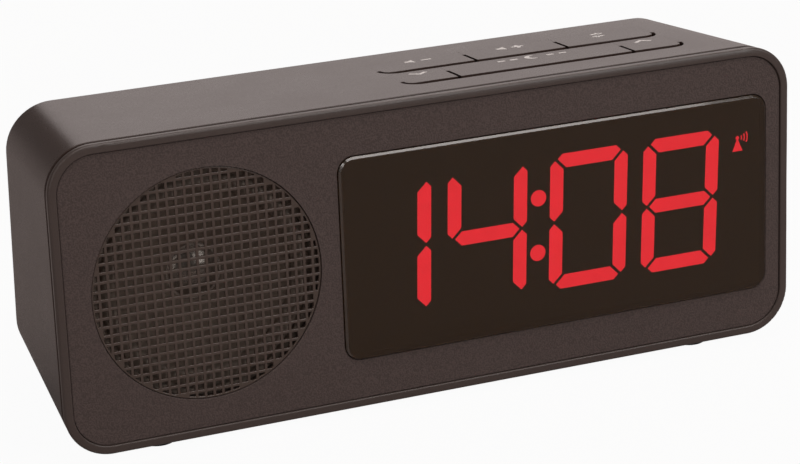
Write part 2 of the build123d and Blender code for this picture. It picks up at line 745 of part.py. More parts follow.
roll_profile = Circle(ROLL_RADIUS) - Circle(ROLL_RADIUS - ROLL_SHEET)
roll_profile &= Pos(0, ROLL_RADIUS) * Rectangle(4 * ROLL_RADIUS, 2 * ROLL_RADIUS)
roll = revolve(Plane.XZ * Pos(roll_centre, -seat_front) * roll_profile, Axis.Z)
parts["speaker_surround"] = FACE * Pos(grille_x, MID) * roll

cone_out = roll_centre - ROLL_RADIUS
parts["speaker_cone"] = turned([
    (cone_out - CONE_SHEET, seat_front),
    (cone_out + ROLL_SHEET, seat_front),
    (cone_out + ROLL_SHEET, seat_front + CONE_SHEET),
    (cone_out, seat_front + 2 * CONE_SHEET),
    (COIL_RADIUS, CONE_DEPTH + 2 * CONE_SHEET),
    (COIL_RADIUS, basket_back),
    (COIL_RADIUS - CONE_SHEET, basket_back),
    (COIL_RADIUS - CONE_SHEET, CONE_DEPTH),
])
cap_edge = COIL_RADIUS - 2 * CONE_SHEET
cap_ball = (cap_edge ** 2 + CAP_RISE ** 2) / (2 * CAP_RISE)
cap = Pos(0, 0, CAP_RISE - cap_ball) * (Sphere(cap_ball) - Sphere(cap_ball - CONE_SHEET))
cap &= Cylinder(COIL_RADIUS - CONE_SHEET, CAP_RISE, align=LOW)
cap += Cylinder(COIL_RADIUS - CONE_SHEET, CONE_SHEET, align=HIGH) - Cylinder(
    cap_edge - CONE_SHEET, CONE_SHEET, align=HIGH
)
parts["speaker_dust_cap"] = FACE.offset(-CONE_DEPTH) * Pos(grille_x, MID) * cap

magnet_front = basket_back
ring_front = magnet_front + PLATE
ring_back = ring_front + MAGNET_LENGTH
parts["speaker_magnet"] = (
    face_disc(grille_x, MID, PLATE_RADIUS, magnet_front, ring_front)
    + face_disc(grille_x, MID, MAGNET_RADIUS, ring_front, ring_back)
    + face_disc(grille_x, MID, PLATE_RADIUS, ring_back, ring_back + PLATE)
)

# Main board on its posts, with a chip, capacitors and a finned regulator
main_top = main_low + BOARD
main_board = Pos((MAIN_LEFT + main_right) / 2, (main_front + main_rear) / 2, main_low) * Box(
    main_right - MAIN_LEFT, MAIN_DEPTH, BOARD, align=LOW
)
chip_y = main_front + CHIP_BACK
can_y = main_front + CAN_BACK
sink_y = main_front + SINK_BACK
main_screws = []
for x, y in main_posts:
    main_board -= Pos(x, y, main_low) * Cylinder(SCREW_RADIUS + SCREW_GAP, BOARD, align=LOW)
    main_screws.append(
        Pos(x, y, main_top) * screw(SCREW_RADIUS, SCREW_LENGTH, SCREW_HEAD, SCREW_HEAD_HEIGHT)
    )
parts["main_board"] = main_board
parts["main_board_screws"] = group(main_screws)
parts["radio_chip"] = Pos(CHIP_X, chip_y, main_top) * Box(CHIP_SIDE, CHIP_SIDE, CHIP_HEIGHT, align=LOW)
parts["capacitors"] = group(
    Pos(CAN_X + i * CAN_PITCH, can_y, main_top) * Cylinder(CAN_RADIUS, CAN_HEIGHT, align=LOW)
    for i in range(CAN_COUNT)
)
sink = Pos(SINK_X, sink_y, main_top) * Box(
    SINK_FINS * SINK_PITCH, SINK_LENGTH, SINK_BASE, align=LOW
)
for i in range(SINK_FINS):
    x = SINK_X + (i - (SINK_FINS - 1) / 2) * SINK_PITCH
    sink += Pos(x, sink_y, main_top) * Box(SINK_FIN, SINK_LENGTH, SINK_HEIGHT, align=LOW)
parts["voltage_regulator"] = sink

# Low-voltage inlet at the rear edge of the main board
jack_x = main_right - JACK_SIDE
jack_z = main_top + JACK_HEIGHT / 2
jack_rear = cover_in - JACK_NOSE_GAP
nose_rear = cover_out - JACK_NOSE_SINK
bore_front = nose_rear - JACK_BORE_DEPTH
jack = rear_block(jack_x, jack_z, JACK_WIDTH, JACK_HEIGHT, jack_rear - JACK_LENGTH, jack_rear)
jack += rear_disc(jack_x, jack_z, JACK_NOSE, jack_rear, nose_rear)
jack -= rear_disc(jack_x, jack_z, JACK_BORE, bore_front, nose_rear)
jack_root = rear_disc(jack_x, jack_z, JACK_ROOT_RADIUS, bore_front - JACK_PIN_ROOT, bore_front)
parts["dc_jack"] = jack - jack_root
parts["dc_jack_pin"] = jack_root + rear_disc(
    jack_x, jack_z, JACK_PIN, bore_front, nose_rear - JACK_PIN_SINK
)

# Rear cover with battery bay, rod saddles and vents
inset = WALL + COVER_GAP
cover_sheet = RectangleRounded(
    WIDTH - 2 * SIDE_TAPER - 2 * inset, REAR_HEIGHT - 2 * inset, REAR_RADIUS - inset
)
cover_plane = REAR.offset(COVER_RECESS) * Pos(0, REAR_HEIGHT / 2)
cover = extrude(cover_plane * cover_sheet, COVER)
bay_in = cover_out - DOOR - DOOR_SEAT_GAP
tub_in = bay_in - BAY_DEPTH - BAY_WALL
door_width = BAY_LENGTH + 2 * DOOR_LAP
door_height = BAY_HEIGHT + 2 * DOOR_LAP
tub_width = door_width + 2 * BAY_WALL
tub_height = door_height + 2 * BAY_WALL
cover += rear_block(BAY_X, BAY_Z, tub_width, tub_height, tub_in, cover_in)
cover -= rear_block(BAY_X, BAY_Z, BAY_LENGTH, BAY_HEIGHT, bay_in - BAY_DEPTH, DEPTH)
cover -= rear_block(BAY_X, BAY_Z, door_width + 2 * DOOR_GAP, door_height + 2 * DOOR_GAP, bay_in, DEPTH)
pin_z = BAY_Z - door_height / 2 + DOOR / 2
pin_y = cover_out - DOOR / 2
pin_hole = Pos(BAY_X, pin_y, pin_z) * Rot(0, 90, 0) * Cylinder(
    DOOR_PIN + DOOR_PIN_GAP, door_width + 2 * DOOR_PIN_LENGTH + 4 * DOOR_GAP
)
cover -= pin_hole
cover_screws = []
for x, z in boss_places:
    cover -= rear_disc(x, z, COVER_SCREW + SCREW_GAP, cover_in, cover_out)
    cover -= rear_disc(x, z, COVER_SCREW_HEAD + DOOR_GAP, cover_out - COVER_SCREW_SINK, cover_out)
    one_screw = screw(COVER_SCREW, BOSS_LENGTH - BOSS_RIB, COVER_SCREW_HEAD, SCREW_HEAD_HEIGHT)
    cover_screws.append(Pos(x, cover_out - COVER_SCREW_SINK, z) * Rot(-90, 0, 0) * one_screw)
for i in range(VENT_COUNT):
    x = VENT_X + (i - (VENT_COUNT - 1) / 2) * VENT_PITCH
    cover -= rear_block(x, VENT_Z, VENT_WIDTH, VENT_HEIGHT, cover_in, cover_out)
cover -= rear_disc(jack_x, jack_z, JACK_NOSE + JACK_NOSE_GAP, cover_in, cover_out)
gland_z = FOOT_HEIGHT + GLAND_RISE
cover -= rear_disc(GLAND_X, gland_z, GLAND_BODY, cover_in, cover_out)
rod_y = cover_in - ROD_BACK
for i in (-1, 1):
    x = ROD_X + ROD_LENGTH / 2 + i * SADDLE_PITCH / 2
    saddle = rear_block(x, ROD_Z, SADDLE, SADDLE_HEIGHT, rod_y - ROD_RADIUS, cover_in)
    saddle -= rear_block(x, ROD_Z, SADDLE, 2 * SADDLE_MOUTH, rod_y - 2 * ROD_RADIUS, rod_y)
    cradle = Cylinder(ROD_RADIUS + SADDLE_GAP, SADDLE)
    cover += saddle - Pos(x, rod_y, ROD_Z) * Rot(0, 90, 0) * cradle
parts["rear_cover"] = cover
parts["rear_cover_screws"] = group(cover_screws)

# Battery door on two short pins at its lower edge
door = rear_block(BAY_X, BAY_Z, door_width, door_height, cover_out - DOOR, cover_out)
edge = Pos(BAY_X, pin_y, pin_z) * Rot(0, 90, 0) * Cylinder(DOOR / 2, door_width)
door -= Pos(BAY_X, pin_y, pin_z) * Box(door_width, 2 * DOOR, DOOR, align=HIGH)
door += edge
door += Pos(BAY_X, pin_y, pin_z) * Rot(0, 90, 0) * Cylinder(DOOR_PIN, door_width + 2 * DOOR_PIN_LENGTH)
for i in range(GRIP_COUNT):
    z = BAY_Z + door_height / 2 - (i + 1) * GRIP_PITCH - GRIP_HEIGHT
    door -= rear_block(BAY_X, z, GRIP_WIDTH, GRIP_HEIGHT, cover_out - GRIP_HEIGHT, cover_out)
parts["battery_door"] = door

# Battery contacts at the two ends of the bay
contacts = []
contact_y = bay_in - BAY_DEPTH / 2
for side in (-1, 1):
    wall_x = BAY_X + side * BAY_LENGTH / 2
    for step in (-1 / 2, 1 / 2):
        z = BAY_Z + step * CONTACT_PITCH
        plate = Pos(wall_x - side * CONTACT / 2, contact_y, z) * Box(CONTACT, CONTACT_SIDE, CONTACT_SIDE)
        button = Pos(wall_x - side * CONTACT_RISE / 2, contact_y, z) * Rot(0, 90, 0) * Cylinder(
            CONTACT_BUTTON, CONTACT_RISE
        )
        contacts.append(plate + button)
parts["battery_contacts"] = group(contacts)

# Antenna gland, ferrite rod and coil
gland = rear_disc(GLAND_X, gland_z, GLAND_BODY, cover_in - GLAND_LIP, DEPTH / 2)
gland += rear_disc(GLAND_X, gland_z, GLAND_FLANGE, cover_out, DEPTH / 2)
gland += rear_disc(GLAND_X, gland_z, GLAND_FLANGE, cover_in - GLAND_LIP, cover_in)
parts["antenna_gland"] = gland - rear_disc(GLAND_X, gland_z, GLAND_BORE, 0, DEPTH)
rod_place = Pos(ROD_X + ROD_LENGTH / 2, rod_y, ROD_Z) * Rot(0, 90, 0)
parts["ferrite_rod"] = rod_place * Cylinder(ROD_RADIUS, ROD_LENGTH)
coil_bore = Cylinder(ROD_RADIUS + COIL_GAP, COIL_LENGTH)
parts["antenna_coil"] = rod_place * (Cylinder(COIL_OUTER, COIL_LENGTH) - coil_bore)

for name, shape in parts.items():
    export_step(shape, f"parts/{name}.step")
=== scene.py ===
# %% [markdown]
# # A bedside radio alarm clock
# The clock comes as separate solids in one shared frame, in metres: X runs to the right, Y from the face to
# the rear, and Z up from the table. This lesson dresses the solids. It rounds their edges, gives each piece
# a finish made of shader nodes, adds the small printed and bent things that a solid model leaves out, and
# then lights the clock for a picture.

# %% Load the solids
import json
from math import cos, pi, radians, sin

import bmesh
import bpy
from mathutils import Matrix, Quaternion, Vector


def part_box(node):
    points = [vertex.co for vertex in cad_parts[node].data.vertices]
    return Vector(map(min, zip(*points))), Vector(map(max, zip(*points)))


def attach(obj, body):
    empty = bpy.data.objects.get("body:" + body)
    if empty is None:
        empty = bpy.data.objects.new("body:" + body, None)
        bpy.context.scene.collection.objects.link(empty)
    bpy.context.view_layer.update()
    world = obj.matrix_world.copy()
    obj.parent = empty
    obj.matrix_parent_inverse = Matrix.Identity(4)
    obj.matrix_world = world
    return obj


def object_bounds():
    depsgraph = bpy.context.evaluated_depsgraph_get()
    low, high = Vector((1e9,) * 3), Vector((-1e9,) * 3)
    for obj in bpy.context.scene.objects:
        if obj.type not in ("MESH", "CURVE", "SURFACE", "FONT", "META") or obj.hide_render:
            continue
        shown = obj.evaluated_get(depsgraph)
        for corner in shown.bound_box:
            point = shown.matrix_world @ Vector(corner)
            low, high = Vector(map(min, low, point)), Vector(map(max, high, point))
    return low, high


MM = 0.001
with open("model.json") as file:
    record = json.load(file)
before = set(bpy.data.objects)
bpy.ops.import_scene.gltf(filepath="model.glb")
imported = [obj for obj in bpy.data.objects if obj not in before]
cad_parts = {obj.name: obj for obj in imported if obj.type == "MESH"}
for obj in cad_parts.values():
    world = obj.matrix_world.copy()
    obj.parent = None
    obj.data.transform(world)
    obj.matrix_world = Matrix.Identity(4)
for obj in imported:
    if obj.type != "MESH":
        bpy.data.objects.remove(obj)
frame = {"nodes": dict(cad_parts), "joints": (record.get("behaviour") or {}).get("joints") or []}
nodes = frame["nodes"]
joints = {joint["name"]: joint for joint in frame["joints"]}
cad_box = [list(corner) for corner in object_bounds()]
print("solids:", len(nodes), "box in metres:", cad_box)

# %% [markdown]
# ## Sums with sockets
# A finish is a small network of nodes, and most of its nodes do arithmetic. Linking them by hand is slow to
# read, so a class wraps one socket and overloads the operators: `0.4 + 0.1 * noise` then adds the Math
# nodes by itself. A second class holds the network and has one method that adds any node.

# %% A socket that can be added and multiplied
class Signal:
    """A value inside a node network. Sums written with it become Math nodes."""

    def __init__(self, network, socket):
        self.network = network
        self.socket = socket

    def math(self, operation, first, second=0.0):
        return self.network.node("ShaderNodeMath", {0: first, 1: second}, operation=operation)

    def __add__(self, other):
        return self.math("ADD", self, other)

    def __radd__(self, other):
        return self.math("ADD", other, self)

    def __sub__(self, other):
        return self.math("SUBTRACT", self, other)

    def __rsub__(self, other):
        return self.math("SUBTRACT", other, self)

    def __mul__(self, other):
        return self.math("MULTIPLY", self, other)

    def __rmul__(self, other):
        return self.math("MULTIPLY", other, self)

    def __gt__(self, other):
        return self.math("GREATER_THAN", self, other)

    def __lt__(self, other):
        return self.math("LESS_THAN", self, other)

    def larger(self, other):
        return self.math("MAXIMUM", self, other)

    def smaller(self, other):
        return self.math("MINIMUM", self, other)

    def wave(self):
        return self.math("SINE", self)


print("sums that become nodes:", [name.strip("_") for name, made in vars(Signal).items() if callable(made)])

# %% A network of nodes
class Network:
    """A node tree, with one method that adds a node."""

    def __init__(self, tree):
        self.tree = tree

    def feed(self, socket, value):
        """Links a signal to a socket, or sets the socket to a plain value."""
        if isinstance(value, Signal):
            self.tree.links.new(value.socket, socket)
        else:
            socket.default_value = value

    def node(self, kind, inputs=None, output=0, **settings):
        """Adds a node of a kind and gives back one of its outputs."""
        made = self.tree.nodes.new(kind)
        for name, value in settings.items():
            setattr(made, name, value)
        for key, value in (inputs or {}).items():
            self.feed(made.inputs[key], value)
        return Signal(self, made.outputs[output])

    def part(self, vector, letter):
        """One coordinate of a vector."""
        return self.node("ShaderNodeSeparateXYZ", {0: vector}, letter)


print("a network:", Network.__doc__)

# %% A material made of one network
class Finish(Network):
    """A material: one Principled shader and the network in front of it."""

    def __init__(self, name):
        self.material = bpy.data.materials.new(name)
        self.material.use_nodes = True
        super().__init__(self.material.node_tree)
        self.shader = self.tree.nodes["Principled BSDF"]
        self.place = self.node("ShaderNodeTexCoord", output="Object")

    def set(self, name, value):
        self.feed(self.shader.inputs[name], value)
        return self

    def axis(self, letter):
        """One coordinate of the surface, in metres, in the clock's own frame."""
        return self.part(self.place, letter)

    def noise(self, size, detail=2.0, place=None):
        """Soft lumps of about one size, in metres, from 0 to 1. Their middle is 0.5."""
        lumps = {"Vector": place or self.place, "Scale": 1 / size, "Detail": detail}
        return self.node("ShaderNodeTexNoise", lumps)

    def blend(self, share, low, high):
        """A colour between two others. The colour sockets of this node are the seventh and the eighth."""
        return self.node("ShaderNodeMix", {0: share, 6: low, 7: high}, 2, data_type="RGBA")

    def relief(self, height, depth):
        """Raises the surface by a depth in metres where the height is 1."""
        return self.set("Normal", self.node("ShaderNodeBump", {"Distance": depth, "Height": height}))


print("a finish:", Finish.__doc__)

# %% Colours, and a finish put on solids
WHITE = (1.0, 1.0, 1.0, 1.0)
BLACK = (0.0, 0.0, 0.0, 1.0)


def tint(code, level=1.0):
    """A hex colour as the linear numbers that shaders work in, made darker or lighter by a level."""
    steps = [int(code[i:i + 2], 16) / 255 for i in (0, 2, 4)]
    linear = [s / 12.92 if s <= 0.04045 else ((s + 0.055) / 1.055) ** 2.4 for s in steps]
    return [level * value for value in linear] + [1.0]


def dress(finish, *names):
    """Gives a finish to solids of the frame."""
    for name in names:
        nodes[name].data.materials.clear()
        nodes[name].data.materials.append(finish.material)
    print(finish.material.name, "on", ", ".join(names))


print("a middle grey in linear numbers:", tint("808080"))

# %% [markdown]
# ## Edges
# Real plastic has no razor edges: a mould leaves every corner with a small radius, and that radius is what
# catches the light. The solids arrive as loose triangles, so each gets a stack of modifiers instead of a
# new mesh: Weld joins the triangles, Decimate merges those that lie flat, a small node group marks which
# edges are sharp, and Bevel rounds the sharp ones by a real width. The group is a network too, so the same
# class builds it, and its conditions are the same sums.

# %% A node group that marks sharp edges, and spares those that touch a neighbour
SHARP = radians(32)


def edge_marks(name, neighbours=(), clear=0.0, rear_limit=None):
    """Shades the faces smooth up to the sharp edges, and weighs the edges that Bevel rounds.

    Edges nearer than clear to a neighbour, or behind a limit, get no weight and stay sharp.
    """
    tree = bpy.data.node_groups.new(name, "GeometryNodeTree")
    for way in ("INPUT", "OUTPUT"):
        tree.interface.new_socket("Geometry", in_out=way, socket_type="NodeSocketGeometry")
    group = Network(tree)
    sharp = group.node("GeometryNodeInputMeshEdgeAngle", output="Unsigned Angle") > SHARP
    rounded = sharp
    if neighbours:
        joined = group.node("GeometryNodeJoinGeometry")
        for neighbour in neighbours:
            shape = group.node("GeometryNodeObjectInfo", {"Object": neighbour}, "Geometry")
            group.feed(joined.socket.node.inputs[0], shape)
        distance = group.node("GeometryNodeProximity", {0: joined}, "Distance", target_element="FACES")
        rounded = rounded * (distance > clear)
    if rear_limit is not None:
        spot = group.node("GeometryNodeInputPosition")
        rounded = rounded * (group.part(spot, "Y") < rear_limit)
    solid = group.node("NodeGroupInput")
    smooth = group.node("GeometryNodeSetShadeSmooth", {0: solid}, domain="FACE")
    creases = {0: smooth, "Selection": sharp, "Shade Smooth": False}
    creased = group.node("GeometryNodeSetShadeSmooth", creases, domain="EDGE")
    weights = {"Geometry": creased, "Name": "bevel_weight_edge", "Value": rounded}
    weighed = group.node("GeometryNodeStoreNamedAttribute", weights, data_type="FLOAT", domain="EDGE")
    group.feed(tree.nodes.new("NodeGroupOutput").inputs[0], weighed)
    return tree


plain_marks = edge_marks("sharp_edges")
print("edges sharper than", round(SHARP, 2), "radians are rounded")

# %% Round the edges of every solid by its own width
SEAM = 0.001 * MM
FLAT = radians(0.2)
# Widths in millimetres. A solid that is not named here has the common width.
EDGE = {
    "cabinet": 0.3, "rear_cover": 0.3, "battery_door": 0.3, "front_frame": 0.3, "front_panel": 0.1,
    "speaker_grille": 0.18, "display_lens": 0.05, "rubber_feet": 0.5, "antenna_gland": 0.3,
    "speaker_magnet": 0.4, "capacitors": 0.5, "radio_chip": 0.25, "dc_jack": 0.25, "dc_jack_pin": 0.2,
    "ferrite_rod": 0.4, "antenna_coil": 0.3, "battery_contacts": 0.1, "speaker_cone": 0.1,
}
COMMON_EDGE = 0.12
EDGE_STEPS = 2
UNROUNDED = ("lit_segments", "unlit_segments", "display_housing")
keys = [name for name in nodes if name.startswith("key_") and name + "_press" in joints]


def round_edges(name, marks=plain_marks):
    """Adds the stack of modifiers to one solid."""
    piece = nodes[name]
    piece.modifiers.new("weld", "WELD").merge_threshold = SEAM
    merge = piece.modifiers.new("merge flats", "DECIMATE")
    merge.decimate_type = "DISSOLVE"
    merge.angle_limit = FLAT
    piece.modifiers.new("mark edges", "NODES").node_group = marks
    if name in UNROUNDED:
        return
    bevel = piece.modifiers.new("round edges", "BEVEL")
    bevel.limit_method = "WEIGHT"
    bevel.width = EDGE.get(name, COMMON_EDGE) * MM
    bevel.segments = EDGE_STEPS
    bevel.use_clamp_overlap = False
    bevel.harden_normals = True


for name in nodes:
    if name not in keys and name != "cabinet":
        round_edges(name)
print("dressed with modifiers:", len(nodes) - len(keys) - 1, "of", len(nodes), "solids")

# %% [markdown]
# ## Keys that are part of the top
# The keys are tongues cut free of the cabinet's own top by narrow slots. Behind the slots each tongue runs
# on into the top, with no gap to see. Rounding the edges there would draw a groove, so edges are only
# rounded along the slots: on the cabinet where no key touches it, and on a key ahead of a line some
# millimetres before its root.

# %% Round the slots and leave the roots of the tongues alone
TONGUE_CLEAR = 0.4 * MM
TONGUE_FREE = 8.3 * MM
round_edges("cabinet", edge_marks("cabinet_edges", [nodes[name] for name in keys], TONGUE_CLEAR))
for name in keys:
    root = joints[name + "_press"]["pos_m"][1]
    round_edges(name, edge_marks(name + "_edges", rear_limit=root - TONGUE_FREE))
print("keys:", keys)

# %% [markdown]
# ## Moulded plastic
# The cabinet is dark warm-grey plastic. It is satin, not matt: the top and the side are seen at a low angle
# and mirror the pale room, so they look much lighter than the face. The mould's own grain breaks that sheen
# up. Noise drives three things at once here: a slight speckle in the colour, the roughness, and the relief.
# The face, the rim, the grille and the rear cover come from moulds with other grains.

# %% Five grades of the same plastic
CLOUD = 14 * MM
CLOUD_TINT = 0.3
GRAIN_GLOSS, CLOUD_GLOSS = 0.12, 0.06
DARKER, LIGHTER = 0.8, 1.2


def moulded_plastic(name, colour, roughness, grain, depth, speckle, shine=0.35):
    """Grained plastic. The size and the depth of the grain are in millimetres."""
    finish = Finish(name)
    fine = finish.noise(grain * MM, 0.0)
    cloud = finish.noise(CLOUD)
    share = 0.5 + speckle * (fine - 0.5) + CLOUD_TINT * (cloud - 0.5)
    finish.set("Base Color", finish.blend(share, tint(colour, DARKER), tint(colour, LIGHTER)))
    finish.set("Roughness", roughness + GRAIN_GLOSS * (fine - 0.5) + CLOUD_GLOSS * (cloud - 0.5))
    finish.set("Specular IOR Level", shine)
    return finish.relief(fine, depth * MM)


cabinet_plastic = moulded_plastic(
    "cabinet_plastic", "3c2d28", roughness=0.3, grain=0.3, depth=0.004, speckle=0.5)
frame_plastic = moulded_plastic(
    "frame_plastic", "4b403c", roughness=0.36, grain=0.3, depth=0.004, speckle=0.5, shine=0.5)
panel_plastic = moulded_plastic(
    "panel_plastic", "534744", roughness=0.5, grain=0.37, depth=0.07, speckle=3.0)
grille_plastic = moulded_plastic(
    "grille_plastic", "4c3f38", roughness=0.18, grain=0.25, depth=0.003, speckle=0.5, shine=0.6)
cover_plastic = moulded_plastic(
    "cover_plastic", "574b47", roughness=0.45, grain=0.4, depth=0.03, speckle=1.5)
dress(cabinet_plastic, "cabinet", *keys)
dress(cover_plastic, "rear_cover", "battery_door")
dress(frame_plastic, "front_frame")
dress(panel_plastic, "front_panel")
dress(grille_plastic, "speaker_grille")

# %% [markdown]
# ## The smoked window
# The window is a sheet of clear plastic dyed brown, almost black, so that the display behind it disappears
# when it is dark. It can be painted black or it can really transmit light. Here it transmits: the digits
# are seen through it. Behind its edge lies the panel's ledge and behind the rest the display's housing, and
# because both are nearly as dark as each other, no border shows. Only the bevel round its edge shines, as a
# thin pale line that mirrors the lamps. The flat front faces along Y and the bevel does not, so the
# direction of the surface tells them apart, and a clear coat lies on the bevel alone.

# %% Smoked plastic with a shining bevel
HAZE = 6 * MM
DYE_DARK, DYE_PALE = (0.128, 0.066, 0.018, 1.0), (0.147, 0.075, 0.022, 1.0)
BEVEL_FACING = -0.92
BEVEL_SHINE = 0.48
BEVEL_BLUR = 0.2
BEVEL_IOR = 2.2
window = Finish("lens_smoked")
haze = window.noise(HAZE)
window.set("Base Color", window.blend(haze, DYE_DARK, DYE_PALE))
outward = window.node("ShaderNodeTexCoord", output="Normal")
on_bevel = window.part(outward, "Y") > BEVEL_FACING
window.set("Roughness", 0.03 + 0.02 * haze)
window.set("Coat Weight", BEVEL_SHINE * on_bevel)
window.set("Coat Roughness", BEVEL_BLUR)
window.set("Coat IOR", BEVEL_IOR)
window.set("Transmission Weight", 0.88)
window.set("IOR", 1.49)
window.set("Specular IOR Level", 0.07)
dress(window, "display_lens")

# %% [markdown]
# ## The lit digits
# Each stroke of a digit is a little light box with a diffuser on top: it glows almost evenly, with soft
# lighter and darker patches. The strokes that are off are the same box, dark, in a black housing.

# %% Glow
DIFFUSER, PATCHES = 1.5 * MM, 3 * MM
DIFFUSER_DARK, DIFFUSER_PALE = (0.5, 0.03, 0.03, 1.0), (0.6, 0.04, 0.04, 1.0)
GLOW_COLOUR = (1.0, 0.04, 0.27, 1.0)
GLOW_STRENGTH = 6.7
glow = Finish("segment_lit")
glow.set("Base Color", glow.blend(glow.noise(DIFFUSER), DIFFUSER_DARK, DIFFUSER_PALE))
even = 0.92 + 0.16 * glow.noise(PATCHES)
glow.set("Emission Color", glow.blend(even, BLACK, GLOW_COLOUR))
glow.set("Emission Strength", GLOW_STRENGTH)
glow.set("Roughness", 0.6)
dress(glow, "lit_segments")

# %% Dark strokes and their housing
LUMP_GLOSS = 0.2
LUMP_DEPTH = 0.03


def dark_moulding(name, colour, roughness, size, spread=0.3):
    """Plain plastic for parts that are hardly seen. The size of its lumps is in millimetres."""
    finish = Finish(name)
    lumps = finish.noise(size * MM)
    finish.set("Base Color", finish.blend(lumps, tint(colour, 1 - spread), tint(colour, 1 + spread)))
    finish.set("Roughness", roughness + LUMP_GLOSS * (lumps - 0.5))
    finish.set("Specular IOR Level", spread)
    return finish.relief(lumps, LUMP_DEPTH * spread * MM)


EVEN = 0.08
dress(dark_moulding("segment_unlit", "28211c", 0.7, 0.8, EVEN), "unlit_segments")
dress(dark_moulding("housing_black", "28211c", 0.8, 0.5, EVEN), "display_housing")

# %% [markdown]
# ## The loudspeaker
# Behind the grille sits a small loudspeaker: a grey-brown paper cone with a glossy dust cap in the middle,
# held by a rubber roll in a pressed steel basket. Through the holes one sees little more than the pale spot
# on the cap.

# %% Paper and film
FIBRE, DUST = 0.6 * MM, 2 * MM
paper = Finish("cone_paper")
fibre = paper.noise(FIBRE, 6.0)
paper.set("Base Color", paper.blend(fibre, tint("8a7a6f"), tint("a08f82")))
paper.set("Roughness", 0.75 + 0.15 * fibre)
paper.relief(fibre, 0.05 * MM)
dress(paper, "speaker_cone")

film = Finish("cap_film")
dust = film.noise(DUST, 4.0)
film.set("Base Color", film.blend(dust, tint("94897f"), tint("aca198")))
film.set("Metallic", 0.7)
film.set("Roughness", 0.2 + 0.1 * dust)
film.set("Coat Weight", 1.0)
film.set("Coat Roughness", 0.2)
dress(film, "speaker_dust_cap")

# %% Rubber
BLOOM, PORES = 3 * MM, 0.25 * MM


def rubber(name, colour):
    """Matt rubber with a pale bloom on it and fine pores in it."""
    finish = Finish(name)
    bloom = finish.noise(BLOOM, 4.0)
    pores = finish.noise(PORES)
    finish.set("Base Color", finish.blend(bloom, tint(colour, 0.8), tint(colour, 1.5)))
    finish.set("Roughness", 0.7 + 0.2 * (pores - 0.5))
    return finish.relief(pores, 0.02 * MM)


dress(rubber("surround_rubber", "94857a"), "speaker_surround")
dress(rubber("gland_rubber", "191716"), "antenna_gland")
dress(rubber("foot_rubber", "1b1816"), "rubber_feet")

# %% [markdown]
# ## Metal parts
# The basket is painted steel and the magnet dark ferrite with a metal sheen. Screws are zinc plated, the
# battery contacts nickel plated, the inlet's pin is polished, and the capacitors and the regulator's fins
# are bare aluminium. All of them are one recipe with other numbers: rolling and drawing leave fine streaks,
# which are noise stretched along X.

# %% Plated steel and aluminium
STRETCH = (0.08, 1.0, 1.0)
STREAK_GLOSS = 0.2
STREAK_DEPTH = 0.004 * MM


def metal(name, colour, roughness, streak, share=1.0):
    """Metal with streaks of a width in millimetres. The share says how far paint leaves it metal."""
    finish = Finish(name)
    drawn_out = {0: finish.place, 1: STRETCH}
    stretched = finish.node("ShaderNodeVectorMath", drawn_out, operation="MULTIPLY")
    lines = finish.noise(streak * MM, 3.0, stretched)
    finish.set("Base Color", finish.blend(lines, tint(colour, 0.85), tint(colour, 1.1)))
    finish.set("Metallic", share)
    finish.set("Roughness", roughness + STREAK_GLOSS * (lines - 0.5))
    return finish.relief(lines, STREAK_DEPTH)


screws = [name for name in nodes if name.endswith("_screws")]
dress(metal("basket_steel", "94857a", 0.5, 0.4, 0.2), "speaker_basket")
dress(metal("magnet_dark", "3a3a3c", 0.55, 0.8, 0.4), "speaker_magnet")
dress(metal("screw_steel", "a8a8a4", 0.35, 0.3), *screws)
dress(metal("contact_plated", "c9c7c0", 0.25, 0.25), "battery_contacts")
dress(metal("pin_plated", "d8d5cc", 0.15, 0.2), "dc_jack_pin")
dress(metal("can_aluminium", "c4c6c9", 0.3, 0.3), "capacitors")
dress(metal("sink_aluminium", "a9abae", 0.4, 0.3), "voltage_regulator")

# %% [markdown]
# ## Boards and what they carry
# A circuit board is glass cloth under green lacquer, with copper tracks that show through as lighter,
# slightly raised bands. Tracks run square to each other, so two sets of stripes switched on and off by a
# coarse noise are enough for a board that is hardly seen.

# %% Lacquer over tracks
TRACK = 1.6 * MM
TRACK_EDGE = 0.5
TRACK_DEPTH = 0.03 * MM
PATCH, CLOTH = 9 * MM, 0.3 * MM
ALONG_ABOVE, ACROSS_BELOW = 0.52, 0.46


def circuit_board(name):
    """Green lacquer with tracks along X in some patches and along Y in others."""
    finish = Finish(name)
    patch = finish.noise(PATCH, 1.0)
    along = ((2 * pi / TRACK) * finish.axis("X")).wave() > TRACK_EDGE
    across = ((2 * pi / TRACK) * finish.axis("Y")).wave() > TRACK_EDGE
    tracks = along * (patch > ALONG_ABOVE) + across * (patch < ACROSS_BELOW)
    cloth = finish.noise(CLOTH)
    lacquer = finish.blend(cloth, tint("0d3d22"), tint("124a2a"))
    finish.set("Base Color", finish.blend(tracks.smaller(1.0), lacquer, tint("2b7444")))
    finish.set("Roughness", 0.3 + 0.1 * cloth)
    return finish.relief(tracks, TRACK_DEPTH)


plungers = [name for name in nodes if name.startswith("plunger_")]
dress(circuit_board("board_green"), "display_board", "main_board", "key_board")
dress(dark_moulding("chip_epoxy", "1b1b1c", 0.65, 0.3), "radio_chip")
dress(dark_moulding("switch_black", "18181a", 0.35, 0.6), "switch_bodies")
dress(dark_moulding("jack_black", "131314", 0.3, 0.8), "dc_jack")
dress(dark_moulding("plunger_white", "c9c6ba", 0.45, 0.5), *plungers)
dress(dark_moulding("rod_ferrite", "2e2b2b", 0.7, 0.4), "ferrite_rod")

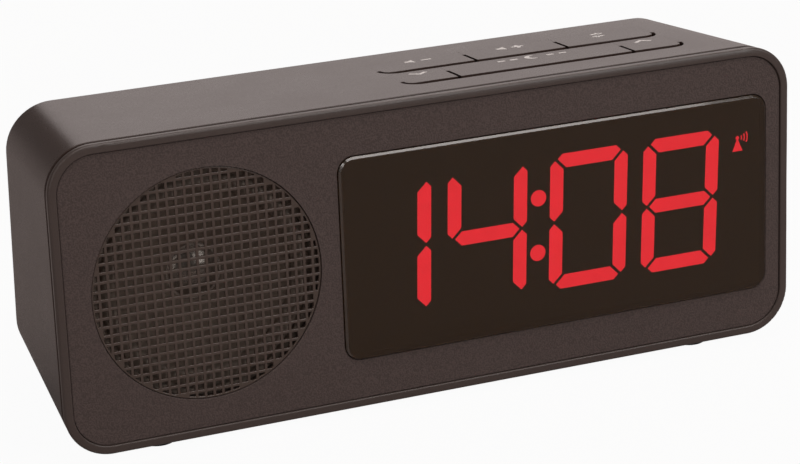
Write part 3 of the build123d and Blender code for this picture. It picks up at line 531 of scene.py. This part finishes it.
# %% Enamelled wire, wound turn by turn along the rod
WIRE = 0.35 * MM
WIRE_DEPTH = 0.12 * MM
coil = Finish("coil_copper")
crest_and_groove_shade = 0.5 + 0.5 * ((2 * pi / WIRE) * coil.axis("X")).wave()
# The colour darkens from the crest of each turn into the groove between turns: painted shade in the
# grooves.
coil.set("Base Color", coil.blend(crest_and_groove_shade, tint("6e3418"), tint("b5683a")))
coil.set("Metallic", 0.8)
coil.set("Roughness", 0.45 - 0.15 * crest_and_groove_shade)
coil.relief(crest_and_groove_shade, WIRE_DEPTH)
dress(coil, "antenna_coil")

# %% [markdown]
# ## Printed marks
# Each key carries a small white mark: a speaker with a minus or a plus, a pair of arrows that turn into
# each other, chevrons for up and down, and a crescent moon on the wide key. A mark is a set of flat
# outlines, each filled and thickened by a few hundredths of a millimetre, as screen print is. The frame
# says where they go: the key's hinge lies on the top, and the push switch under it travels square to the
# top.

# %% Flat outlines of straight strokes
def bar(x, y, width, height):
    """A rectangle about a point."""
    return [(x - width / 2, y - height / 2), (x + width / 2, y - height / 2),
            (x + width / 2, y + height / 2), (x - width / 2, y + height / 2)]


def cross(size, width):
    """A plus in one outline."""
    far, near = size / 2, width / 2
    return [(far, near), (near, near), (near, far), (-near, far), (-near, near), (-far, near),
            (-far, -near), (-near, -near), (-near, -far), (near, -far), (near, -near), (far, -near)]


def band(points, width):
    """A bent stroke of even width through three points, mitred at the middle one."""
    start, bend, end = (Vector(point) for point in points)
    first = (bend - start).normalized()
    second = (end - bend).normalized()
    left, right = Vector((-first.y, first.x)), Vector((-second.y, second.x))
    mitre = (left + right) / (1 + left.dot(right))
    half = width / 2
    outer = [start + half * left, bend + half * mitre, end + half * right]
    inner = [end - half * right, bend - half * mitre, start - half * left]
    return [tuple(point) for point in outer + inner]


print("corners of a plus:", len(cross(2.0, 0.5)))

# %% Flat outlines of round strokes
TURN_STEPS = 28


def arc(x, y, near, far, start, end):
    """Part of a ring between two angles in degrees."""
    angles = [radians(start + (end - start) * i / TURN_STEPS) for i in range(TURN_STEPS + 1)]
    outside = [(x + far * cos(a), y + far * sin(a)) for a in angles]
    inside = [(x + near * cos(a), y + near * sin(a)) for a in reversed(angles)]
    return outside + inside


def crescent(radius, bite, shift):
    """A disc with a smaller disc taken out of its right side."""
    meet = (radius ** 2 - bite ** 2 + shift ** 2) / (2 * shift)
    tip = Vector((meet, (radius ** 2 - meet ** 2) ** 0.5))
    far = tip.angle_signed(Vector((1, 0)))
    near = (tip - Vector((shift, 0))).angle_signed(Vector((1, 0)))
    back = [far + (2 * pi - 2 * far) * i / TURN_STEPS for i in range(TURN_STEPS + 1)]
    front = [near + (2 * pi - 2 * near) * i / TURN_STEPS for i in range(1, TURN_STEPS)]
    outside = [(radius * cos(a), radius * sin(a)) for a in back]
    inside = [(shift + bite * cos(a), bite * sin(a)) for a in reversed(front)]
    return outside + inside


moon = crescent(1.15, 0.95, 0.55)
print("points in the moon:", len(moon))

# %% From outlines to a thin solid
PRINT = 0.04 * MM
INK = 0.2 * MM
print_white = Finish("print_white")
ink = print_white.noise(INK, 3.0)
print_white.set("Base Color", print_white.blend(ink, tint("cfc9c6"), tint("efebe8")))
print_white.set("Roughness", 0.55 + 0.2 * (ink - 0.5))


def add_object(name, data):
    """An object of some data, in the scene."""
    made = bpy.data.objects.new(name, data)
    bpy.context.scene.collection.objects.link(made)
    return made


def thick_outlines(name, outlines, places, thickness, body, material):
    """Outlines in millimetres, laid on each place of the clock and thickened along its normal."""
    mesh = bpy.data.meshes.new(name)
    build = bmesh.new()
    for place in places:
        up = thickness * place.to_3x3().col[2].normalized()
        for outline in outlines:
            corners = [build.verts.new(place @ Vector((x * MM, y * MM, 0.0))) for x, y in outline]
            face = build.faces.new(corners)
            raised = bmesh.ops.extrude_face_region(build, geom=[face])["geom"]
            lifted = [item for item in raised if isinstance(item, bmesh.types.BMVert)]
            bmesh.ops.translate(build, vec=up, verts=lifted)
    bmesh.ops.recalc_face_normals(build, faces=build.faces)
    build.to_mesh(mesh)
    build.free()
    mesh.materials.append(material)
    piece = add_object(name, mesh)
    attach(piece, body)
    print(name, "rides on", body)


def standing(origin, across, normal):
    """A place whose flat runs along across and whose height is the normal."""
    up = Vector(normal).normalized()
    side = Vector(across).normalized()
    away = up.cross(side)
    return Matrix.Translation(origin) @ Matrix((side, away, up)).transposed().to_4x4()


print("thickness of print in metres:", PRINT)

# %% The outlines of the marks, in millimetres about the middle of each
STROKE = 0.55
BESIDE_SPEAKER = 1.5
RAY_LENGTH, RAY_PLACES = 1.2, (2.9, 4.9)
RING_NEAR, RING_FAR, RING_SWEEP = 0.68, 1.2, 112

speaker = [(-1.9, -0.4), (-1.3, -0.4), (-0.5, -1.05), (-0.5, 1.05), (-1.3, 0.4), (-1.9, 0.4)]
minus = bar(BESIDE_SPEAKER, 0.0, 1.6, STROKE)
plus = [(BESIDE_SPEAKER + x, y) for x, y in cross(1.9, STROKE)]
ring = [arc(0.0, 0.0, RING_NEAR, RING_FAR, start, start + RING_SWEEP) for start in (30, 210)]
head = [(0.15, 1.75), (1.35, 0.95), (0.25, 0.2)]
heads = [head, [(-x, -y) for x, y in head]]
chevron = band([(-1.3, -0.45), (0.0, 0.6), (1.3, -0.45)], STROKE)
rays = [bar(side * x, 0.0, RAY_LENGTH, STROKE) for side in (-1, 1) for x in RAY_PLACES]
print("rays beside the moon:", len(rays))

# %% One mark on each key
MARK_SCALE = (1.7, 1.6, 1.0, 1.0)
BACK_ROW_SET, FRONT_ROW_SET = 3.0 * MM, 2.2 * MM
marks = {
    "key_volume_down": ([speaker, minus], BACK_ROW_SET),
    "key_volume_up": ([speaker, plus], BACK_ROW_SET),
    "key_mode": (ring + heads, BACK_ROW_SET),
    "key_up": ([chevron], FRONT_ROW_SET),
    "key_down": ([[(x, -y) for x, y in chevron]], FRONT_ROW_SET),
    "key_snooze": ([moon] + rays, FRONT_ROW_SET),
}
for name, (outlines, ahead) in marks.items():
    hinge = Vector(joints[name + "_press"]["pos_m"])
    top_normal = -Vector(joints[name.replace("key", "plunger") + "_travel"]["axis"])
    place = standing(hinge, (1, 0, 0), top_normal) @ Matrix.Translation((0.0, -ahead, 0.0))
    scaled = place @ Matrix.Diagonal(MARK_SCALE)
    thick_outlines("mark_" + name, outlines, [scaled], PRINT, name, print_white.material)

# %% [markdown]
# ## The rear
# More signs help whoever plugs the clock in or changes its cells: a level line over three dashes beside the
# inlet, which means direct current, a small mast beside the antenna's gland, and an arrow on the battery
# door that shows which way it opens. They are printed like the marks on the keys, and lie in the recess
# behind the cabinet's edge, where nothing rubs them off.

# %% Printed signs on the cover and on its door
SIGN_STROKE = 0.6
SIGN_AWAY = 9 * MM
ARROW_RISE = 1.5 * MM
SEEN_FROM_BEHIND = ((-1, 0, 0), (0, 1, 0))
cover_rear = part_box("rear_cover")[1].y


def middle(name):
    """The middle of a solid's box."""
    low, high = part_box(name)
    return (low + high) / 2


def cover_sign(name, outlines, x, z, body="clock"):
    """Print on the cover's outer face, upright as seen from behind."""
    place = standing((x, cover_rear, z), *SEEN_FROM_BEHIND)
    thick_outlines(name, outlines, [place], PRINT, body, print_white.material)


dashes = [bar(x, -0.8, 1.2, SIGN_STROKE) for x in (-1.9, 0.0, 1.9)]
direct_current = [bar(0.0, 0.8, 5.0, SIGN_STROKE)] + dashes
fork = band([(-2.0, 2.6), (0.0, 0.6), (2.0, 2.6)], SIGN_STROKE)
mast = [bar(0.0, -1.0, SIGN_STROKE, 3.4), fork, bar(0.0, 1.9, SIGN_STROKE, 1.6)]
arrow = [[(-2.6, 1.2), (2.6, 1.2), (0.0, -2.2)], bar(0.0, 2.6, 1.6, 2.4)]
inlet, gland, door = middle("dc_jack"), middle("antenna_gland"), middle("battery_door")
cover_sign("sign_inlet", direct_current, inlet.x, inlet.z + SIGN_AWAY)
cover_sign("sign_antenna", mast, gland.x - SIGN_AWAY, gland.z)
cover_sign("sign_door", arrow, door.x, door.z + ARROW_RISE, "battery_door")
print("cover's outer face at y =", round(cover_rear, 4))

# %% [markdown]
# ## The battery bay
# Behind the little door each cell presses against a flat button at one end and a spring at the other. The
# spring is a cone of wire that flattens into itself, so its turns get smaller towards the cell. A curve
# with a round bevel makes it from a formula: the turn and the height grow together while the radius
# shrinks. A plus and a minus moulded in the bay's floor say which way round each cell goes.

# %% Two conical springs
SPRING_WIRE = 0.28 * MM
WIRE_STEPS = 3
SPRING_TURNS = 4
SPRING_LENGTH = 4.2 * MM
SPRING_BASE, SPRING_TIP = 3.7 * MM, 2.9 * MM
CONTACT_SHEET = 0.4 * MM
CONTACT_HALF = 4.5 * MM
contact_low, contact_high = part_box("battery_contacts")
bay_middle = (contact_low + contact_high) / 2
cell_rise = (contact_high.z - contact_low.z) / 2 - CONTACT_HALF


def cone_spring(name, foot, direction):
    """Turns of wire round X from a foot, closing towards the cell."""
    steps = SPRING_TURNS * TURN_STEPS
    wire = bpy.data.curves.new(name, "CURVE")
    wire.dimensions = "3D"
    wire.bevel_depth = SPRING_WIRE
    wire.bevel_resolution = WIRE_STEPS
    wire.use_fill_caps = True
    line = wire.splines.new("POLY")
    line.points.add(steps)
    for i, point in enumerate(line.points):
        share = i / steps
        turn = 2 * pi * SPRING_TURNS * share
        radius = SPRING_BASE + (SPRING_TIP - SPRING_BASE) * share
        along = direction * (SPRING_WIRE + SPRING_LENGTH * share)
        point.co = (foot.x + along, foot.y + radius * cos(turn), foot.z + radius * sin(turn), 1.0)
    wire.materials.append(nodes["battery_contacts"].data.materials[0])
    piece = add_object(name, wire)
    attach(piece, "clock")


lower_foot = Vector((contact_low.x + CONTACT_SHEET, bay_middle.y, bay_middle.z - cell_rise))
upper_foot = Vector((contact_high.x - CONTACT_SHEET, bay_middle.y, bay_middle.z + cell_rise))
cone_spring("spring_lower", lower_foot, 1)
cone_spring("spring_upper", upper_foot, -1)
print("springs at", lower_foot, upper_foot)

# %% A moulded plus and minus for each cell
BAY_FLOOR = 13.6 * MM
SIGN_INSET = 12 * MM
MOULDED = 0.25 * MM
POLE_SIZE, POLE_STROKE = 4.0, 1.0


def bay_place(x, z):
    """A place on the floor of the bay, upright as seen from behind."""
    return standing((x, BAY_FLOOR, z), *SEEN_FROM_BEHIND)


near_left, near_right = contact_low.x + SIGN_INSET, contact_high.x - SIGN_INSET
minus_places = [bay_place(near_left, lower_foot.z), bay_place(near_right, upper_foot.z)]
plus_places = [bay_place(near_right, lower_foot.z), bay_place(near_left, upper_foot.z)]
for name, outline, places in (
    ("sign_minus", bar(0.0, 0.0, POLE_SIZE, POLE_STROKE), minus_places),
    ("sign_plus", cross(POLE_SIZE, POLE_STROKE), plus_places),
):
    thick_outlines(name, [outline], places, MOULDED, "clock", cover_plastic.material)

# %% [markdown]
# ## Leads of the chip
# The radio chip is a flat black block. Its leads are stamped from a strip of plated metal and bent like a
# gull's wing: out of the side of the block, down, and flat along the board. One side view of a lead,
# thickened by the lead's width and set down along the four sides, makes them all.

# %% Gull-wing leads on the four sides
LEAD_WIDTH = 0.4 * MM
LEAD_PITCH = 0.9 * MM
LEADS_PER_SIDE = 12
LEAD_SHEET = 0.2
chip_low, chip_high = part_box("radio_chip")
chip_middle = (chip_low + chip_high) / 2
leave = (chip_middle.z - chip_low.z) / MM
side_view = [
    (-0.2, leave), (0.5, leave), (0.8, LEAD_SHEET), (1.4, LEAD_SHEET),
    (1.4, 0.0), (0.65, 0.0), (0.35, leave - LEAD_SHEET), (-0.2, leave - LEAD_SHEET),
]
lead_places = []
for quarter in range(4):
    turned = Matrix.Rotation(quarter * pi / 2, 4, "Z")
    for i in range(LEADS_PER_SIDE):
        along = (i - (LEADS_PER_SIDE - 1) / 2) * LEAD_PITCH + LEAD_WIDTH / 2
        edge = turned @ Vector(((chip_high.x - chip_low.x) / 2, along, 0.0))
        foot = Vector((chip_middle.x, chip_middle.y, chip_low.z)) + edge
        lead_places.append(standing(foot, turned @ Vector((1, 0, 0)), turned @ Vector((0, -1, 0))))
thick_outlines("chip_leads", [side_view], lead_places, LEAD_WIDTH, "clock",
               nodes["dc_jack_pin"].data.materials[0])
print("leads on the chip:", len(lead_places))

# %% [markdown]
# ## The table, the light and the camera
# The picture is a product shot on a white table. What the camera sees of the table and of the room is
# white, but what they send to the clock is dim, and five soft lamps do the rest. The one behind stands low,
# out of the picture: the top is seen at a low angle and mirrors it, which is why the top looks so pale. The
# corner between top and side mirrors the unlit part of the room, and so it stays dark. The rear lamp fills
# the back. The one overhead is mirrored in the upper bevel of the window, and the narrow one on the left in
# the bevel's left corner. The front lamp lights the face and makes the pale spot on the loudspeaker's cap.

# %% A white table that keeps its shadow
FLOOR_SIZE = 6.0
TABLE_COLOUR = (0.42, 0.36, 0.343, 1.0)
WHITE_SHARE = 0.96
MIRRORED_SHARE = 0.06


def seen_rays(network):
    """How white a ray shows its surroundings: 1 straight to the camera or through the window.

    In a mirror it is only a small share of that.
    """
    straight = network.node("ShaderNodeLightPath", output="Is Camera Ray")
    through = network.node("ShaderNodeLightPath", output="Is Transmission Ray")
    mirrored = network.node("ShaderNodeLightPath", output="Is Glossy Ray")
    return straight.larger(through).larger(MIRRORED_SHARE * mirrored)


table = Finish("table_white")
table.set("Base Color", TABLE_COLOUR)
table.set("Roughness", 0.9)
table.set("Specular IOR Level", 0.0)
lit = Signal(table, table.shader.outputs[0])
white = table.node("ShaderNodeEmission", {"Color": WHITE, "Strength": 1.0})
table_mix = table.node("ShaderNodeMixShader", {0: WHITE_SHARE * seen_rays(table), 1: lit, 2: white})
table.feed(table.tree.nodes["Material Output"].inputs["Surface"], table_mix)
floor_mesh = bpy.data.meshes.new("table")
half_floor = FLOOR_SIZE / 2
corners = [(-half_floor, -half_floor, 0), (half_floor, -half_floor, 0),
           (half_floor, half_floor, 0), (-half_floor, half_floor, 0)]
floor_mesh.from_pydata(corners, [], [(0, 1, 2, 3)])
floor_mesh.materials.append(table.material)
floor = add_object("table", floor_mesh)
print("table:", FLOOR_SIZE, "m")

# %% A dim room that looks white
ROOM_COLOUR = (1.0, 0.85, 0.78, 1.0)
ROOM_LIGHT = 0.07
world = bpy.data.worlds.new("room")
world.use_nodes = True
bpy.context.scene.world = world
room = Network(world.node_tree)
soft = room.node("ShaderNodeBackground", {"Color": ROOM_COLOUR, "Strength": ROOM_LIGHT})
bright = room.node("ShaderNodeBackground", {"Color": WHITE, "Strength": 1.0})
room_mix = room.node("ShaderNodeMixShader", {0: seen_rays(room), 1: soft, 2: bright})
room.feed(world.node_tree.nodes["World Output"].inputs["Surface"], room_mix)
print("light of the room:", ROOM_LIGHT)

# %% Five soft lamps
def soft_lamp(name, place, aim, size, power, colour):
    """A rectangular lamp at a place, turned to its aim. The camera does not see it."""
    lamp = bpy.data.lights.new(name, "AREA")
    lamp.shape = "RECTANGLE"
    lamp.size, lamp.size_y = size
    lamp.energy = power
    lamp.color = colour
    holder = add_object(name, lamp)
    holder.location = place
    holder.rotation_euler = (Vector(aim) - Vector(place)).to_track_quat("-Z", "Y").to_euler()
    holder.visible_camera = False


NEUTRAL, PALE, SOFT_WARM, WARM = (1.0, 1.0, 1.0), (1.0, 0.95, 0.93), (1.0, 0.94, 0.91), (1.0, 0.9, 0.88)
clock_middle = (Vector(cad_box[0]) + Vector(cad_box[1])) / 2
window_corner = (-0.03, -0.03, 0.06)
# Name, place, aim, width and height in metres, then watts and colour.
LAMPS = (
    ("behind", (0.5, 0.75, 0.3), (0.15, 0.0, 0.1), (1.1, 0.6), 1.6, WARM),
    ("rear", (0.7, 0.9, 1.3), clock_middle, (0.5, 0.5), 5.0, WARM),
    ("overhead", (0.15, -0.26, 1.05), (0.15, 0.0, 0.04), (1.0, 0.5), 4.8, SOFT_WARM),
    ("front", (0.75, -0.98, 0.8), clock_middle, (0.8, 0.8), 6.2, NEUTRAL),
    ("left", (-0.75, -0.5, 0.42), window_corner, (0.14, 0.86), 1.3, PALE),
)
for lamp in LAMPS:
    soft_lamp(*lamp)
print("lamps:", ", ".join(lamp[0] for lamp in LAMPS))

# %% The camera, at the picture's own viewpoint
CAMERA_PLACE = Vector((-247.7, -585.6, 297.3)) * MM
CAMERA_AIM = Vector((0.35, 0.0, 33.1)) * MM
CAMERA_ROLL = radians(-0.2)
LENS_LENGTH = 125.5
camera_data = bpy.data.cameras.new("camera")
camera_data.lens = LENS_LENGTH
camera = add_object("camera", camera_data)
camera.location = CAMERA_PLACE
looking = (CAMERA_AIM - CAMERA_PLACE).to_track_quat("-Z", "Y")
camera.rotation_euler = (looking @ Quaternion((0, 0, 1), CAMERA_ROLL)).to_euler()
bpy.context.scene.camera = camera
bpy.context.scene.view_settings.view_transform = "Standard"
print("camera at", CAMERA_PLACE)
